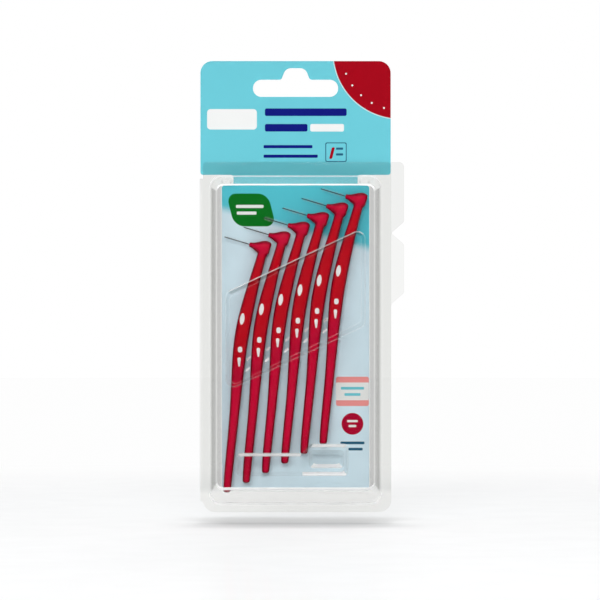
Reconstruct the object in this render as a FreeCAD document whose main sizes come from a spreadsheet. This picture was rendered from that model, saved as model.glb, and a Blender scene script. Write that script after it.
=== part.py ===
"""Hanging clamshell pack of six angled interdental brushes, as a parametric document."""
import FreeCAD
import Part
import Sketcher
import math
import os

from FreeCAD import Placement, Rotation, Vector

BRUSH_COUNT = 6
BRISTLE_RAYS = 9

# Driving sizes in millimetres and degrees
SIZES = {
    "brush_pitch_across": 8.64,
    "brush_pitch_up": 4.32,
    "lower_lean": 5.4,
    "upper_lean": 15.6,
    "knee_height": 76,
    "head_height": 109.5,
    "tail_width": 3.4,
    "shaft_height": 41,
    "shaft_width": 4.7,
    "grip_drop": 7,
    "grip_width": 6.4,
    "waist_rise": 12,
    "waist_width": 5.7,
    "neck_drop": 4,
    "neck_width": 4.3,
    "handle_thickness": 4.4,
    "handle_round": 1.4,
    "tail_round": 1.2,
    "head_thickness": 4.8,
    "nose_reach": 6.7,
    "nose_width": 2.1,
    "throat_reach": 3.8,
    "throat_width": 3.7,
    "crown_reach": 1.5,
    "crown_width": 6,
    "head_back": 2.9,
    "head_end_width": 5,
    "head_lift": 0.6,
    "head_round": 1,
    "wire_tilt": 16.7,
    "wire_width": 0.55,
    "wire_reach": 11.8,
    "wire_anchor": 6,
    "wire_fit": 0.02,
    "bristle_radius": 1.15,
    "bristle_thickness": 0.16,
    "bristle_first": 1.6,
    "bristle_pitch": 1.05,
    "bristle_valley": 0.42,
    "mark_depth": 0.4,
    "mark_fit": 0.02,
    "oval_height": 77.9,
    "oval_length": 5,
    "oval_width": 2.2,
    "oval_lean": 7,
    "dot_height": 64.2,
    "dot_length": 2.7,
    "dot_width": 2.1,
    "drop_height": 58.6,
    "drop_length": 4.2,
    "drop_width": 1.9,
    "card_thickness": 0.5,
    "card_slack": 0.05,
    "seat_gap": 0.25,
    "hold_gap": 0.35,
    "headroom": 6.2,
    "wall": 0.5,
    "side_margin": 6,
    "tip_margin": 5.8,
    "tail_margin": 5.4,
    "side_flange": 4.5,
    "top_flange": 6.3,
    "bottom_flange": 3.6,
    "flange_round": 5.5,
    "base_round": 5,
    "window_round": 3,
    "side_draft": 3.2,
    "top_draft": 4.2,
    "bottom_draft": 7.4,
    "band_inset": 4.4,
    "band_top_left": 49.4,
    "band_top_right": 20.4,
    "band_height": 42.6,
    "band_draft": 1.4,
    "band_round": 3.2,
    "ledge_left": 9.4,
    "ledge_bend": 38.5,
    "ledge_right": 12.2,
    "ledge_top": 15.6,
    "ledge_rise": 4.1,
    "ledge_floor": 5.2,
    "ledge_draft": 1.2,
    "ledge_round": 1.6,
    "stop_gap": 1,
    "stop_width": 14.8,
    "stop_shift": 1.55,
    "stop_length": 7.5,
    "stop_clear": 0.6,
    "tab_reach": 5.8,
    "tab_length": 27,
    "tab_slope": 5,
    "tab_round": 2.4,
    "hinge_leg": 0.6,
    "hinge_gap": 0.02,
    "hinge_inset": 1.2,
    "block_width": 5.2,
    "block_height": 3.1,
    "block_depth": 3.6,
    "block_gap": 0.35,
    "bead_inset": 6,
    "bead_width": 3,
    "bead_depth": 1.6,
    "header_rise": 8.4,
    "header_inset": 0.25,
    "header_round": 5.4,
    "header_overlap": 5.8,
    "neck_inset": 10.6,
    "insert_inset": 5.4,
    "insert_drop": 4.3,
    "insert_foot": 6.6,
    "insert_round": 1.2,
    "hole_to_case": 37,
    "slot_length": 38.3,
    "slot_height": 7.7,
    "lobe_height": 5.2,
    "lobe_width": 8.8,
    "lobe_flare": 2,
    "lobe_round": 3.4,
    "lobe_fillet": 1.4,
}

# Places that follow from the driving sizes
PLACES = {
    "last_brush": f"{BRUSH_COUNT - 1}",
    "knee_x": "Size.knee_height * tan(Size.lower_lean)",
    "head_x": "knee_x + (Size.head_height - Size.knee_height) * tan(Size.upper_lean)",
    "head_end_x": "head_x + Size.head_back * cos(Size.wire_tilt)",
    "head_right": "head_end_x + (Size.head_end_width / 2 + Size.head_lift) * sin(Size.wire_tilt)",
    "tip_reach": "Size.nose_reach + Size.wire_reach",
    "tip_height": "Size.head_height + tip_reach * sin(Size.wire_tilt)",
    "gap_half": "Size.card_thickness / 2 + Size.card_slack",
    "brush_middle": "Size.card_thickness / 2 + Size.seat_gap + Size.head_thickness / 2",
    "brush_front": "Size.card_thickness / 2 + Size.seat_gap + Size.head_thickness",
    "hold_depth": "brush_front + Size.hold_gap + Size.wall",
    "front_depth": "brush_front + Size.headroom + Size.wall",
    "set_width": "Size.tail_width / 2 + last_brush * Size.brush_pitch_across + head_right",
    "base_right": "set_width / 2 + Size.side_margin",
    "case_right": "base_right + Size.side_flange",
    "case_top": "-Size.hole_to_case",
    "base_top": "case_top - Size.top_flange",
    "first_tail_x": "Size.side_margin - base_right + Size.tail_width / 2",
    "first_tail_z": "base_top - Size.tip_margin - last_brush * Size.brush_pitch_up - tip_height",
    "last_tail_x": "first_tail_x + last_brush * Size.brush_pitch_across",
    "last_tail_z": "first_tail_z + last_brush * Size.brush_pitch_up",
    "base_bottom": "first_tail_z - Size.tail_margin",
    "case_bottom": "base_bottom - Size.bottom_flange",
    "window_right": "base_right - Size.side_draft",
    "window_top": "base_top - Size.top_draft",
    "window_bottom": "base_bottom + Size.bottom_draft",
    "band_right": "window_right - Size.band_inset",
    "band_upper_left": "window_top - Size.band_top_left",
    "band_upper_right": "window_top - Size.band_top_right",
    "ledge_left_x": "Size.ledge_left - window_right",
    "ledge_bend_x": "Size.ledge_bend - window_right",
    "ledge_right_x": "window_right - Size.ledge_right",
    "ledge_top_z": "window_bottom + Size.ledge_top",
    "ledge_floor_z": "window_bottom + Size.ledge_floor",
    "stop_top": "last_tail_z - Size.stop_gap - Size.wall - Size.ledge_draft",
    "hinge_outer": "gap_half + Size.wall",
    "hinge_x": "hinge_outer - case_right",
    "flange_left": "hinge_x + Size.hinge_leg",
    "header_right": "case_right - Size.header_inset",
    "header_bottom": "case_top - Size.header_overlap",
    "neck_right": "base_right - Size.neck_inset",
    "insert_right": "base_right - Size.insert_inset",
    "insert_top": "base_top - Size.insert_drop",
    "insert_bottom": "base_bottom + Size.insert_foot",
    "slot_right": "Size.slot_length / 2",
    "lobe_right": "Size.lobe_width / 2",
    "block_outer": "base_right - Size.base_round",
    "block_inner": "block_outer - Size.block_width",
}

doc = FreeCAD.newDocument("interdental_brush_pack")


def new_sheet(name, cells):
    """Make a spreadsheet with one named cell per row."""
    sheet = doc.addObject("Spreadsheet::Sheet", name)
    for row, (alias, content) in enumerate(cells.items(), start=1):
        sheet.set(f"A{row}", alias.replace("_", " "))
        sheet.set(f"B{row}", content)
        sheet.setAlias(f"B{row}", alias)
    return sheet


size_sheet = new_sheet("Size", {alias: str(number) for alias, number in SIZES.items()})
new_sheet("Place", {alias: "=" + formula for alias, formula in PLACES.items()})
doc.recompute()


def value(expression):
    """Number that an expression over the sheets stands for."""
    found = size_sheet.evalExpression(expression)
    return float(getattr(found, "Value", found))


def new_body(label):
    """Make an empty body whose label names its file."""
    body = doc.addObject("PartDesign::Body", label)
    body.Label = label
    return body


def origin_feature(body, role):
    """Find one of a body's own origin planes or axes."""
    return [feature for feature in body.Origin.OriginFeatures if feature.Role == role][0]


def new_sketch(body, name, role, depth="0"):
    """Make a sketch on an origin plane, moved along its normal by an expression."""
    sketch = body.newObject("Sketcher::SketchObject", name)
    sketch.AttachmentSupport = [(origin_feature(body, role), "")]
    sketch.MapMode = "FlatFace"
    sketch.AttachmentOffset = Placement(Vector(0, 0, value(depth)), Rotation())
    sketch.setExpression("AttachmentOffset.Base.z", depth)
    return sketch


def add_rules(sketch, rules):
    """Add constraints in one go; each is (constraint, name, expression), with no name for a plain one."""
    numbers = sketch.addConstraint([rule for rule, name, expression in rules])
    for number, (rule, name, expression) in zip(numbers, rules):
        if name:
            sketch.renameConstraint(number, name)
            sketch.setExpression(f"Constraints.{name}", expression)


def pin_point(geometry, position, across, along, name):
    """Rules that hold a sketch point at two expressions from the sketch origin."""
    rules = []
    for kind, axis, expression in (("DistanceX", -2, across), ("DistanceY", -1, along)):
        if expression == "0":
            rules.append((Sketcher.Constraint("PointOnObject", geometry, position, axis), "", ""))
            continue
        rule = Sketcher.Constraint(kind, -1, 1, geometry, position, value(expression))
        rules.append((rule, f"{name}_{'across' if kind == 'DistanceX' else 'along'}", expression))
    return rules


def radius_rule(geometry, radius, name):
    """Rule that gives an arc or circle a radius from an expression."""
    return (Sketcher.Constraint("Radius", geometry, value(radius)), name, radius)


def outline(sketch, corners):
    """Draw a closed outline through (x, y, radius) expressions, with an arc at each rounded corner."""
    count = len(corners)
    first = sketch.GeometryCount
    points = [Vector(value(across), value(along), 0) for across, along, radius in corners]
    radii = [value(radius) for across, along, radius in corners]
    entries = []
    exits = []
    arcs = {}
    for index in range(count):
        back = (points[index - 1] - points[index]).normalize()
        ahead = (points[(index + 1) % count] - points[index]).normalize()
        half = back.getAngle(ahead) / 2
        reach = radii[index] / math.tan(half)
        entries.append(points[index] + back * reach)
        exits.append(points[index] + ahead * reach)
        if radii[index] > 0:
            middle = points[index] + (back + ahead).normalize() * (radii[index] / math.sin(half))
            turns_left = back.cross(ahead).z < 0
            ends = (entries[index], exits[index]) if turns_left else (exits[index], entries[index])
            angles = [math.atan2(end.y - middle.y, end.x - middle.x) for end in ends]
            circle = Part.Circle(middle, Vector(0, 0, 1), radii[index])
            arcs[index] = (Part.ArcOfCircle(circle, angles[0], angles[1]), turns_left)
    lines = [Part.LineSegment(exits[index], entries[(index + 1) % count]) for index in range(count)]
    sketch.addGeometry(lines, False)
    rules = []
    for index in range(count):
        across, along, radius = corners[index]
        before = first + (index - 1) % count
        after = first + index
        name = f"corner_{first}_{index}"
        if index not in arcs:
            rules.append((Sketcher.Constraint("Coincident", before, 2, after, 1), "", ""))
            rules += pin_point(after, 1, across, along, name)
            continue
        shape, turns_left = arcs[index]
        arc = sketch.addGeometry(shape, False)
        point = sketch.addGeometry(Part.Point(points[index]), True)
        entry, leave = (1, 2) if turns_left else (2, 1)
        rules.append((Sketcher.Constraint("Tangent", before, 2, arc, entry), "", ""))
        rules.append((Sketcher.Constraint("Tangent", arc, leave, after, 1), "", ""))
        rules.append(radius_rule(arc, radius, f"{name}_round"))
        rules.append((Sketcher.Constraint("PointOnObject", point, 1, before), "", ""))
        rules.append((Sketcher.Constraint("PointOnObject", point, 1, after), "", ""))
        rules += pin_point(point, 1, across, along, name)
    add_rules(sketch, rules)


def box_corners(left, right, bottom, top, radius):
    """Corners of a rounded rectangle, counter-clockwise."""
    return [(left, bottom, radius), (right, bottom, radius), (right, top, radius), (left, top, radius)]


def circle_at_origin(sketch, radius, name):
    """Draw a circle about the sketch origin."""
    geometry = sketch.addGeometry(Part.Circle(Vector(0, 0, 0), Vector(0, 0, 1), value(radius)), False)
    centred = (Sketcher.Constraint("Coincident", geometry, 3, -1, 1), "", "")
    add_rules(sketch, [centred, radius_rule(geometry, radius, name)])


def pad(body, sketch, length, name, backward=False):
    """Add material from a sketch along its normal."""
    feature = body.newObject("PartDesign::Pad", name)
    feature.Profile = sketch
    feature.setExpression("Length", length)
    feature.Reversed = backward
    return feature


def pocket(body, sketch, length, name, backward=False):
    """Take material away behind a sketch."""
    feature = body.newObject("PartDesign::Pocket", name)
    feature.Profile = sketch
    feature.setExpression("Length", length)
    feature.Reversed = backward
    return feature


def loft(body, sketches, name, kind="PartDesign::AdditiveLoft", ruled=False):
    """Run a skin through sketches in order, to add or take away material."""
    feature = body.newObject(kind, name)
    feature.Profile = sketches[0]
    feature.Sections = sketches[1:]
    feature.Ruled = ruled
    return feature


def fillet(body, base, edges, radius, name):
    """Round the named edges of a feature."""
    feature = body.newObject("PartDesign::Fillet", name)
    feature.Base = (base, edges)
    feature.setExpression("Radius", radius)
    return feature


def edges_where(feature, test):
    """Names of a feature's edges whose every sampled point passes a test."""
    names = []
    for number, edge in enumerate(feature.Shape.Edges, start=1):
        if all(test(point) for point in edge.discretize(5)):
            names.append(f"Edge{number}")
    return names


def place_brush(body, number):
    """Put a brush's body at its place in the staggered row."""
    body.setExpression("Placement.Base.x", f"Place.first_tail_x + {number} * Size.brush_pitch_across")
    body.setExpression("Placement.Base.y", "-Place.brush_middle")
    body.setExpression("Placement.Base.z", f"Place.first_tail_z + {number} * Size.brush_pitch_up")


def axis_sketch(body, name, behind_nose):
    """Make a sketch square to the wire, at a distance behind the nose along the wire's line."""
    sketch = body.newObject("Sketcher::SketchObject", name)
    sketch.AttachmentSupport = [(origin_feature(body, "XY_Plane"), "")]
    sketch.MapMode = "FlatFace"
    sketch.AttachmentOffset = Placement(Vector(0, 0, 0), Rotation(Vector(0, 1, 0), 90))
    from_head = f"({behind_nose} - Size.nose_reach)"
    sketch.setExpression("AttachmentOffset.Base.x", f"Place.head_x + {from_head} * cos(Size.wire_tilt)")
    sketch.setExpression("AttachmentOffset.Base.z", f"Size.head_height - {from_head} * sin(Size.wire_tilt)")
    sketch.setExpression("AttachmentOffset.Rotation.Angle", "90 + Size.wire_tilt")
    return sketch


def centre_at(height):
    """Expression for the handle's middle line at a height above the tail, below or above the knee."""
    return (
        f"({height} < Size.knee_height ? {height} * tan(Size.lower_lean)"
        f" : Place.knee_x + ({height} - Size.knee_height) * tan(Size.upper_lean))"
    )


def shaft_section(body, name, height, width, inset="0"):
    """Draw one level cross-section of the handle, moved inward near the tail's tip."""
    sketch = new_sketch(body, name, "XY_Plane", height)
    middle = centre_at(height)
    half = f"(Size.handle_thickness / 2 - {inset})"
    left = f"{middle} - {width} / 2 + {inset}"
    right = f"{middle} + {width} / 2 - {inset}"
    outline(sketch, box_corners(left, right, f"-{half}", half, f"Size.handle_round - 0.75 * {inset}"))
    return sketch


def head_section(body, name, behind_nose, width, thickness, lift):
    """Draw one cross-section of the head, square to the wire."""
    sketch = axis_sketch(body, name, behind_nose)
    low = f"-{width} / 2 - {lift}"
    high = f"{width} / 2 - {lift}"
    half = f"{thickness} / 2"
    radius = f"0.48 * min({width}; {thickness}) * (1 - {lift} / 2)"
    outline(sketch, box_corners(low, high, f"-{half}", half, radius))
    return sketch


def mark_corners(height, length, width, shift, foot_share, curve, spare):
    """Corners of a long mark on the grip, narrowed to a share of its width at the foot."""
    middle = f"({centre_at(height)} - {shift})"
    wide = f"({width} / 2 + {spare})"
    tall = f"({length} / 2 + {spare})"
    foot = f"{wide} * {foot_share}"
    return [
        (f"{middle} - {foot}", f"{height} - {tall}", f"0.85 * {foot}"),
        (f"{middle} + {foot}", f"{height} - {tall}", f"0.85 * {foot}"),
        (f"{middle} + {wide}", f"{height} + {tall}", f"{curve} * {wide}"),
        (f"{middle} - {wide}", f"{height} + {tall}", f"{curve} * {wide}"),
    ]


def lens_corners(height, length, width, shift, spare):
    """Corners of a leaning pointed oval on the grip, wide curves at its sides and tight ones at its tips."""
    middle = f"({centre_at(height)} - {shift})"
    wide = f"(1.36 * {width} / 2 + 1.1 * {spare})"
    tall = f"(1.44 * {length} / 2 + 2.6 * {spare})"
    lean = f"{tall} * tan(Size.oval_lean)"
    side = f"(4.5 * {width} / 2 + {spare})"
    tip = f"(0.55 * {width} / 2 + {spare})"
    return [
        (f"{middle} - {lean}", f"{height} - {tall}", tip),
        (f"{middle} + {wide}", height, side),
        (f"{middle} + {lean}", f"{height} + {tall}", tip),
        (f"{middle} - {wide}", height, side),
    ]


def draw_marks(sketch, spare):
    """Draw the oval, the dot and the drop of one grip."""
    outline(sketch, lens_corners("Size.oval_height", "Size.oval_length", "Size.oval_width", "0.8", spare))
    outline(sketch, mark_corners(
        "Size.dot_height", "Size.dot_length", "Size.dot_width", "0.1", "0.95", "0.94", spare))
    outline(sketch, mark_corners(
        "Size.drop_height", "Size.drop_length", "Size.drop_width", "0", "0.38", "0.83", spare))


def build_handle(number):
    """Moulded handle: a leaning shaft with a knee, and a head that carries the wire."""
    body = new_body(f"brush_{number + 1}_handle")
    place_brush(body, number)
    levels = [
        ("tail", "Size.tail_round", "Size.tail_width"),
        ("lower", "(0.5 * Size.shaft_height)", "(Size.tail_width / 2 + Size.shaft_width / 2)"),
        ("shaft", "Size.shaft_height", "Size.shaft_width"),
        ("grip", "(Size.knee_height - Size.grip_drop)", "Size.grip_width"),
        ("waist", "(Size.knee_height + Size.waist_rise)", "Size.waist_width"),
        ("neck", "(Size.head_height - Size.neck_drop)", "Size.neck_width"),
        ("root", "Size.head_height", "Size.neck_width"),
    ]
    body.Tip = loft(body, [shaft_section(body, *level) for level in levels], "shaft_loft")
    rings = []
    for ring, (rise, inset) in enumerate(((0, 0.84), (0.2, 0.4), (0.5, 0.134), (1, 0))):
        height = f"{rise} * Size.tail_round"
        rings.append(shaft_section(body, f"tail_{ring}", height, "Size.tail_width", f"{inset} * Size.tail_round"))
    body.Tip = loft(body, rings, "tail_cap", ruled=True)
    stations = [
        ("nose", "0", "Size.nose_width", "Size.nose_width", "0"),
        ("throat", "(Size.nose_reach - Size.throat_reach)", "Size.throat_width", "Size.throat_width", "0"),
        ("crown", "(Size.nose_reach - Size.crown_reach)", "Size.crown_width", "Size.head_thickness", "0.1"),
        ("head_end", "(Size.nose_reach + Size.head_back)", "Size.head_end_width",
         "Size.handle_thickness", "Size.head_lift"),
    ]
    head = loft(body, [head_section(body, *station) for station in stations], "head_loft")
    doc.recompute()
    tilt = math.radians(value("Size.wire_tilt"))
    end_x = value("Place.head_end_x")
    end_z = value("Size.head_height - Size.head_back * sin(Size.wire_tilt)")
    end_edges = edges_where(
        head,
        lambda point: abs((point.x - end_x) * math.cos(tilt) - (point.z - end_z) * math.sin(tilt)) < 1e-3,
    )
    body.Tip = fillet(body, head, end_edges, "Size.head_round", "head_fillet")
    bore = axis_sketch(body, "bore", "0")
    circle_at_origin(bore, "Size.wire_width / 2 + Size.wire_fit", "bore_radius")
    body.Tip = pocket(body, bore, "Size.wire_anchor", "wire_bore", True)
    recess = new_sketch(body, "recess", "XZ_Plane", "Size.handle_thickness / 2")
    draw_marks(recess, "Size.mark_fit")
    body.Tip = pocket(body, recess, "Size.mark_depth", "mark_recess")
    return body


def build_marks(number):
    """White marks that fill the recesses in the grip."""
    body = new_body(f"brush_{number + 1}_grip_marks")
    place_brush(body, number)
    sketch = new_sketch(body, "marks", "XZ_Plane", "Size.handle_thickness / 2 - Size.mark_depth")
    draw_marks(sketch, "0")
    pad(body, sketch, "Size.mark_depth", "marks_pad")
    return body


def build_wire(number):
    """Wire core, turned about its own line, from its end inside the head to its rounded tip."""
    body = new_body(f"brush_{number + 1}_wire")
    place_brush(body, number)
    sketch = new_sketch(body, "wire_half", "XZ_Plane")
    sketch.AttachmentOffset = Placement(Vector(0, 0, 0), Rotation(Vector(0, 0, 1), -1))
    sketch.setExpression("AttachmentOffset.Base.x", "Place.head_x")
    sketch.setExpression("AttachmentOffset.Base.y", "Size.head_height")
    sketch.setExpression("AttachmentOffset.Rotation.Angle", "-Size.wire_tilt")
    end = "Size.wire_anchor - Size.nose_reach - Size.wire_fit"
    radius = "Size.wire_width / 2"
    outline(sketch, [
        ("-Place.tip_reach", "0", "0"),
        (end, "0", "0"),
        (end, radius, "0"),
        (f"{radius} - Place.tip_reach", radius, "0"),
        (f"0.3 * {radius} - Place.tip_reach", f"0.75 * {radius}", "0"),
        ("-Place.tip_reach", f"0.3 * {radius}", "0"),
    ])
    rod = body.newObject("PartDesign::Revolution", "wire_rod")
    rod.Profile = sketch
    rod.ReferenceAxis = (sketch, ["H_Axis"])
    rod.Angle = 360
    return body


def build_bristles(number):
    """Rows of bristles set round the wire, each row a thin star."""
    body = new_body(f"brush_{number + 1}_bristles")
    place_brush(body, number)
    sketch = axis_sketch(body, "star", "-Size.bristle_first")
    step = 360 / BRISTLE_RAYS
    corners = []
    for ray in range(BRISTLE_RAYS):
        for turn, reach in ((0.0, "Size.bristle_radius"), (0.5, "Size.bristle_valley")):
            angle = (ray + turn) * step + 7
            corners.append((f"{reach} * cos({angle})", f"{reach} * sin({angle})", "0"))
    outline(sketch, corners)
    circle_at_origin(sketch, "Size.wire_width / 2 + Size.wire_fit", "star_bore")
    star = pad(body, sketch, "Size.bristle_thickness", "star_pad")
    rows = body.newObject("PartDesign::LinearPattern", "star_rows")
    rows.Originals = [star]
    rows.Direction = (sketch, ["N_Axis"])
    rows.Reversed = True
    rows.Occurrences = 9
    rows.setExpression("Length", "8 * Size.bristle_pitch")
    body.Tip = rows
    return body


def build_card():
    """Printed card: header with a hang slot, a neck between the corner blocks, and the insert."""
    body = new_body("printed_card")
    sketch = new_sketch(body, "card", "XZ_Plane", "-Size.card_thickness / 2")
    small = "Size.insert_round"
    outline(sketch, [
        ("-Place.insert_right", "Place.insert_bottom", small),
        ("Place.insert_right", "Place.insert_bottom", small),
        ("Place.insert_right", "Place.insert_top", small),
        ("Place.neck_right", "Place.insert_top", small),
        ("Place.neck_right", "Place.header_bottom", small),
        ("Place.header_right", "Place.header_bottom", small),
        ("Place.header_right", "Size.header_rise", "Size.header_round"),
        ("-Place.header_right", "Size.header_rise", "Size.header_round"),
        ("-Place.header_right", "Place.header_bottom", small),
        ("-Place.neck_right", "Place.header_bottom", small),
        ("-Place.neck_right", "Place.insert_top", small),
        ("-Place.insert_right", "Place.insert_top", small),
    ])
    end = "0.49 * Size.slot_height"
    outline(sketch, [
        ("-Place.slot_right", "-Size.slot_height", end),
        ("Place.slot_right", "-Size.slot_height", end),
        ("Place.slot_right", "0", end),
        ("Place.lobe_right + Size.lobe_flare", "0", "Size.lobe_fillet"),
        ("Place.lobe_right", "Size.lobe_height", "Size.lobe_round"),
        ("-Place.lobe_right", "Size.lobe_height", "Size.lobe_round"),
        ("-Place.lobe_right - Size.lobe_flare", "0", "Size.lobe_fillet"),
        ("-Place.slot_right", "0", end),
    ])
    pad(body, sketch, "Size.card_thickness", "card_pad")
    return body


def flange_corners(tab_top, tab_bottom, tab_at_top):
    """Corners of a case flange with a finger tab on its right edge."""
    corner = "Size.flange_round"
    tab = "Size.tab_round"
    reach = "Place.case_right + Size.tab_reach"
    corners = [
        ("Place.flange_left", "Place.case_bottom", corner),
        ("Place.case_right", "Place.case_bottom", corner),
        ("Place.case_right", f"{tab_bottom} - Size.tab_slope", tab),
        (reach, tab_bottom, tab),
    ]
    if tab_at_top:
        corners.append((reach, "Place.case_top", tab))
    else:
        corners.append((reach, tab_top, tab))
        corners.append(("Place.case_right", f"{tab_top} + Size.tab_slope", tab))
        corners.append(("Place.case_right", "Place.case_top", "2"))
    corners.append(("Place.flange_left", "Place.case_top", "2"))
    return corners


def base_corners(inset):
    """Outline of the front box where it meets the flange, moved inward."""
    return box_corners(
        f"{inset} - Place.base_right", f"Place.base_right - {inset}",
        f"Place.base_bottom + {inset}", f"Place.base_top - {inset}", f"Size.base_round - {inset}",
    )


def window_corners(inset):
    """Outline of the front box's flat window, moved inward."""
    return box_corners(
        f"{inset} - Place.window_right", f"Place.window_right - {inset}",
        f"Place.window_bottom + {inset}", f"Place.window_top - {inset}", f"Size.window_round - {inset}",
    )


def band_corners(inset):
    """Outline of the slanted band that holds the grips, moved inward."""
    left = f"{inset} - Place.band_right"
    right = f"Place.band_right - {inset}"
    radius = f"Size.band_round - {inset} / 2"
    return [
        (left, f"Place.band_upper_left - Size.band_height + {inset}", radius),
        (right, f"Place.band_upper_right - Size.band_height + {inset}", radius),
        (right, f"Place.band_upper_right - {inset}", radius),
        (left, f"Place.band_upper_left - {inset}", radius),
    ]


def ledge_corners(inset):
    """Outline of the stepped ledge over the tails, moved inward."""
    radius = "Size.ledge_round"
    return [
        (f"Place.ledge_left_x + {inset}", f"Place.ledge_floor_z + {inset}", radius),
        (f"Place.ledge_right_x - {inset}", f"Place.ledge_floor_z + {inset}", radius),
        (f"Place.ledge_right_x - {inset}", f"Place.ledge_top_z + Size.ledge_rise - {inset}", radius),
        (f"Place.ledge_bend_x + Size.ledge_rise - {inset} / 2", f"Place.ledge_top_z + Size.ledge_rise - {inset}",
         radius),
        (f"Place.ledge_bend_x - {inset} / 2", f"Place.ledge_top_z - {inset}", radius),
        (f"Place.ledge_left_x + {inset}", f"Place.ledge_top_z - {inset}", radius),
    ]


def stop_corners(inset):
    """Outline of the deep stop below the last tail, moved inward."""
    middle = "(Place.last_tail_x + Size.stop_shift)"
    return box_corners(
        f"{middle} - Size.stop_width / 2 + {inset}", f"{middle} + Size.stop_width / 2 - {inset}",
        f"Place.stop_top - Size.stop_length + {inset}", f"Place.stop_top - {inset}", "Size.ledge_round",
    )


def sink(body, corners, draft, top, floor, grow, name):
    """Cut a drafted pocket into a body from a top level down to a floor level."""
    rim = new_sketch(body, f"{name}_rim", "XZ_Plane", top)
    outline(rim, corners(f"(0 - {grow})"))
    bed = new_sketch(body, f"{name}_bed", "XZ_Plane", floor)
    outline(bed, corners(f"({draft} - {grow})"))
    body.Tip = loft(body, [rim, bed], f"{name}_cut", "PartDesign::SubtractiveLoft", True)


def build_box(name, inset, foot, top, grow):
    """One skin of the front box with its band, ledge and stop, as a solid."""
    body = new_body(name)
    base = new_sketch(body, "base", "XZ_Plane", foot)
    outline(base, base_corners(inset))
    window = new_sketch(body, "window", "XZ_Plane", top)
    outline(window, window_corners(inset))
    loft(body, [base, window], "box_loft", ruled=True)
    hold = f"Place.hold_depth - {grow}"
    sink(body, band_corners, "Size.band_draft", top, hold, grow, "band")
    sink(body, ledge_corners, "Size.ledge_draft", top, hold, grow, "ledge")
    stop_floor = f"Size.card_thickness / 2 + Size.stop_clear + Size.wall - {grow}"
    sink(body, stop_corners, "Size.ledge_draft", hold, stop_floor, grow, "stop")
    return body


def build_front_shell():
    """Front half of the case: a flange with a tab, and a formed box one wall thick."""
    outer = build_box("front_outer", "0", "Place.gap_half", "Place.front_depth", "0")
    flange = new_sketch(outer, "flange", "XZ_Plane", "Place.gap_half")
    tab_top = "Place.case_top - Size.tab_length - 2 * Size.tab_slope"
    outline(flange, flange_corners(tab_top, f"{tab_top} - Size.tab_length + Size.tab_slope", False))
    outer.Tip = pad(outer, flange, "Size.wall", "flange_pad")
    inner = build_box("front_inner", "Size.wall", "0", "Place.front_depth - Size.wall", "Size.wall")
    shell = doc.addObject("Part::Cut", "front_shell")
    shell.Base = outer
    shell.Tool = inner
    shell.Label = "front_shell"
    return shell


def block_corners(side, upper, inset, draft_side, draft_end):
    """Outline of a corner block, moved inward and drafted with the box's walls."""
    outer = f"(Place.block_outer - {inset} - {draft_side})"
    inner = f"(Place.block_inner + {inset} + {draft_side} / 2)"
    left, right = (f"-{outer}", f"-{inner}") if side < 0 else (inner, outer)
    if upper:
        high = f"Place.base_top - Size.wall - Size.block_gap - {inset} - {draft_end}"
        low = f"Place.base_top - Size.wall - Size.block_gap - Size.block_height + {inset}"
    else:
        low = f"Place.base_bottom + Size.wall + Size.block_gap + {inset} + {draft_end}"
        high = f"Place.base_bottom + Size.wall + Size.block_gap + Size.block_height + 1 - {inset}"
    return box_corners(left, right, low, high, "0.6")


def build_back_shell():
    """Back half of the case: a plate with a tab, four hollow corner blocks and a stiffening bead."""
    body = new_body("back_shell")
    plate = new_sketch(body, "plate", "XZ_Plane", "-Place.gap_half")
    outline(plate, flange_corners("Place.case_top", "Place.case_top - Size.tab_length", True))
    body.Tip = pad(body, plate, "Size.wall", "plate_pad", True)
    rib = new_sketch(body, "bead", "XZ_Plane", "-Place.gap_half - Size.wall")
    outline(rib, base_corners("Size.bead_inset"))
    outline(rib, base_corners("(Size.bead_inset + Size.bead_width)"))
    body.Tip = pad(body, rib, "Size.bead_depth", "bead_pad", True)
    groove = new_sketch(body, "groove", "XZ_Plane", "-Place.gap_half")
    outline(groove, base_corners("(Size.bead_inset + Size.wall)"))
    outline(groove, base_corners("(Size.bead_inset + Size.bead_width - Size.wall)"))
    body.Tip = pocket(body, groove, "Size.bead_depth", "bead_groove")
    for side, upper in ((-1, True), (1, True), (-1, False), (1, False)):
        name = f"block_{'right' if side > 0 else 'left'}_{'top' if upper else 'bottom'}"
        end_draft = "Size.top_draft" if upper else "Size.bottom_draft"
        side_slope = "(Size.side_draft / Place.front_depth * Size.block_depth)"
        end_slope = f"({end_draft} / Place.front_depth * Size.block_depth)"
        skins = (("skin", "PartDesign::AdditiveLoft", "0", "0"),
                 ("hollow", "PartDesign::SubtractiveLoft", "Size.wall", "Size.wall"))
        for skin, kind, inset, behind in skins:
            foot = new_sketch(body, f"{name}_{skin}_foot", "XZ_Plane", f"-Place.gap_half - {behind}")
            outline(foot, block_corners(side, upper, inset, "0", "0"))
            crown = new_sketch(body, f"{name}_{skin}_crown", "XZ_Plane",
                               f"Size.block_depth - Place.gap_half - {behind}")
            outline(crown, block_corners(side, upper, inset, side_slope, end_slope))
            body.Tip = loft(body, [foot, crown], f"{name}_{skin}", kind, True)
    return body


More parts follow.
